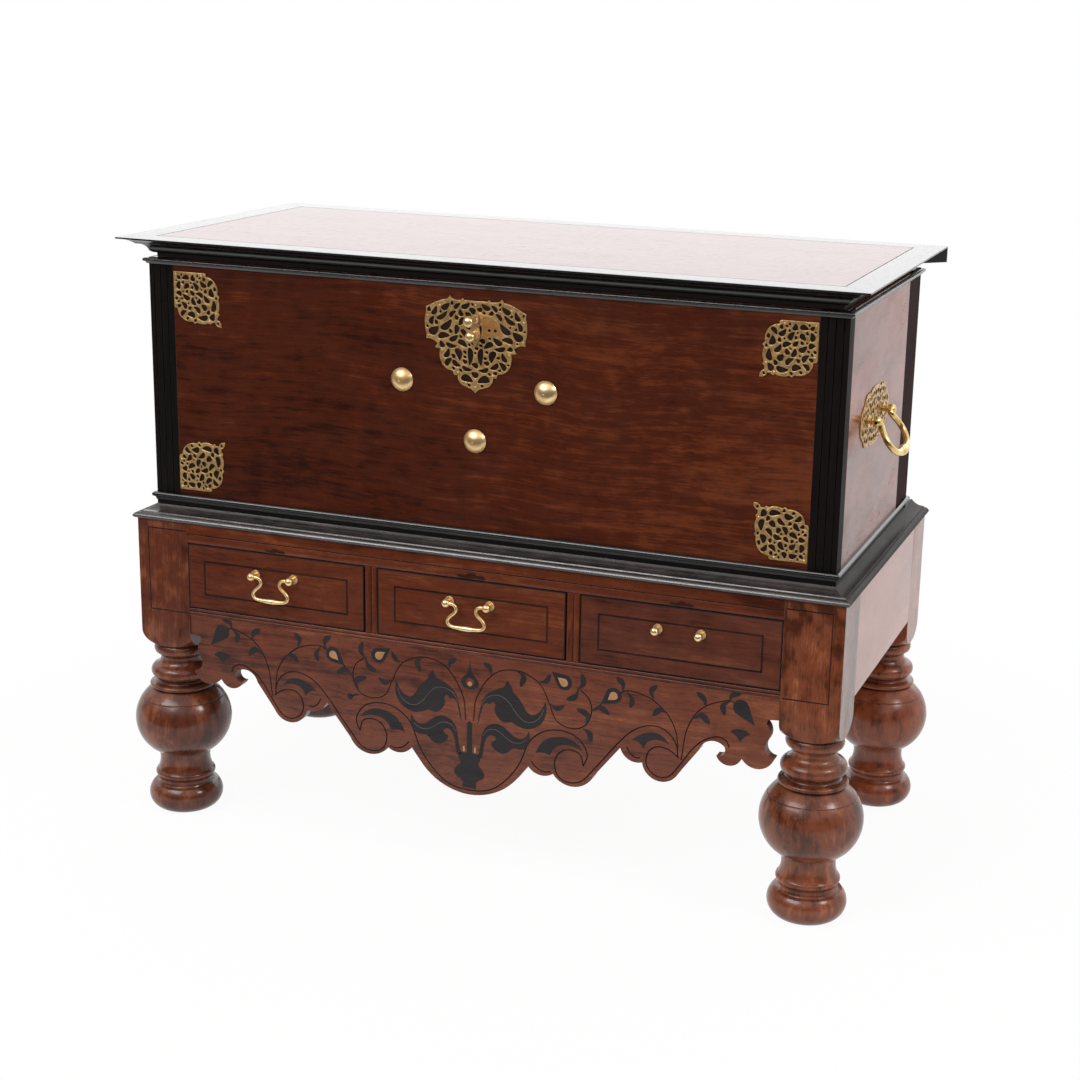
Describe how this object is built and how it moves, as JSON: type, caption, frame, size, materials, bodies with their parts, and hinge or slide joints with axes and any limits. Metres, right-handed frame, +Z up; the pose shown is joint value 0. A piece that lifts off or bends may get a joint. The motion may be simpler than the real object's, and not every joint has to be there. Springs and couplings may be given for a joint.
{
  "type": "dowry chest on stand",
  "caption": "Lidded wooden dowry chest with pierced brass mounts on a turned-leg stand with drawers and a scalloped, inlaid apron.",
  "frame": {"origin": "on the floor, at the middle of the footprint of the whole object", "axes": "+Z up, front with drawers and lock faces -Y, +X to the right seen from the front"},
  "size_m": [1.3276, 0.6876, 1.025],
  "materials": {
    "stand_wood": "waxed mid red-brown hardwood, satin",
    "chest_wood": "french-polished dark red-brown hardwood, glossy",
    "ebony": "polished black ebony",
    "pierced_brass": "aged, brushed dull",
    "polished_brass": "polished cast brass",
    "iron": "dark forged iron"
  },
  "bodies": {
    "root": {"leg_front_left": "stand_wood", "leg_front_right": "stand_wood", "leg_back_left": "stand_wood", "leg_back_right": "stand_wood", "front_top_rail": "stand_wood", "drawer_divider_left": "stand_wood", "drawer_divider_right": "stand_wood", "bead_rail": "stand_wood", "apron": "stand_wood", "side_board_left": "stand_wood", "side_board_right": "stand_wood", "back_board": "stand_wood", "drawer_runners": "stand_wood", "stand_moulding_front": "ebony", "stand_moulding_left": "ebony", "stand_moulding_right": "ebony", "stand_moulding_back": "ebony", "corner_stile_left": "ebony", "corner_stile_right": "ebony", "side_back_strips": "ebony", "top_bead": "ebony", "base_bead": "ebony", "chest_front": "chest_wood", "chest_back": "chest_wood", "chest_side_left": "chest_wood", "chest_side_right": "chest_wood", "chest_bottom": "chest_wood", "corner_plates": "pierced_brass", "escutcheon": "pierced_brass", "handle_plate_left": "pierced_brass", "handle_plate_right": "pierced_brass", "front_bosses": "polished_brass", "handle_posts": "polished_brass", "lock_case": "iron", "hinge_leaves_chest": "iron", "hinge_pins": "iron"},
    "lid": {"lid_panel": "chest_wood", "lid_border_front": "ebony", "lid_border_left": "ebony", "lid_border_right": "ebony", "lid_border_back": "ebony", "hinge_leaves_lid": "iron", "lock_staple": "iron"},
    "keyhole_cover": {"keyhole_cover": "polished_brass"},
    "drawer_left": {"drawer_left_front": "stand_wood", "drawer_left_box": "stand_wood", "drawer_left_bottom": "stand_wood", "drawer_left_pull_posts": "polished_brass"},
    "drawer_middle": {"drawer_middle_front": "stand_wood", "drawer_middle_box": "stand_wood", "drawer_middle_bottom": "stand_wood", "drawer_middle_pull_posts": "polished_brass"},
    "drawer_right": {"drawer_right_front": "stand_wood", "drawer_right_box": "stand_wood", "drawer_right_bottom": "stand_wood", "drawer_right_pull_posts": "polished_brass"},
    "drawer_left_bail": {"drawer_left_bail": "polished_brass"},
    "drawer_middle_bail": {"drawer_middle_bail": "polished_brass"},
    "side_bail_left": {"side_bail_left": "polished_brass"},
    "side_bail_right": {"side_bail_right": "polished_brass"}
  },
  "joints": [
    {"name": "lid_hinge", "type": "hinge", "parent": "root", "child": "lid", "pos_m": [0, 0.2529, 0.9915], "axis": [-1, 0, 0], "range_deg": [0, 95]},
    {"name": "drawer_left_slide", "type": "slide", "parent": "root", "child": "drawer_left", "axis": [0, -1, 0], "range_m": [0, 0.42]},
    {"name": "drawer_middle_slide", "type": "slide", "parent": "root", "child": "drawer_middle", "axis": [0, -1, 0], "range_m": [0, 0.42]},
    {"name": "drawer_right_slide", "type": "slide", "parent": "root", "child": "drawer_right", "axis": [0, -1, 0], "range_m": [0, 0.42]},
    {"name": "drawer_left_bail_swing", "type": "hinge", "parent": "drawer_left", "child": "drawer_left_bail", "pos_m": [-0.36, -0.3245, 0.467], "axis": [-1, 0, 0], "range_deg": [-12, 95]},
    {"name": "drawer_middle_bail_swing", "type": "hinge", "parent": "drawer_middle", "child": "drawer_middle_bail", "pos_m": [0, -0.3245, 0.467], "axis": [-1, 0, 0], "range_deg": [-12, 95]},
    {"name": "side_bail_right_swing", "type": "hinge", "parent": "root", "child": "side_bail_right", "pos_m": [0.6166, -0.073, 0.794], "axis": [0, -1, 0], "range_deg": [-35, 110]},
    {"name": "side_bail_left_swing", "type": "hinge", "parent": "root", "child": "side_bail_left", "pos_m": [-0.6166, -0.073, 0.794], "axis": [0, 1, 0], "range_deg": [-35, 110]},
    {"name": "keyhole_cover_swing", "type": "hinge", "parent": "root", "child": "keyhole_cover", "pos_m": [-0.004, -0.2836, 0.931], "axis": [0, -1, 0], "range_deg": [-85, 85]}
  ]
}
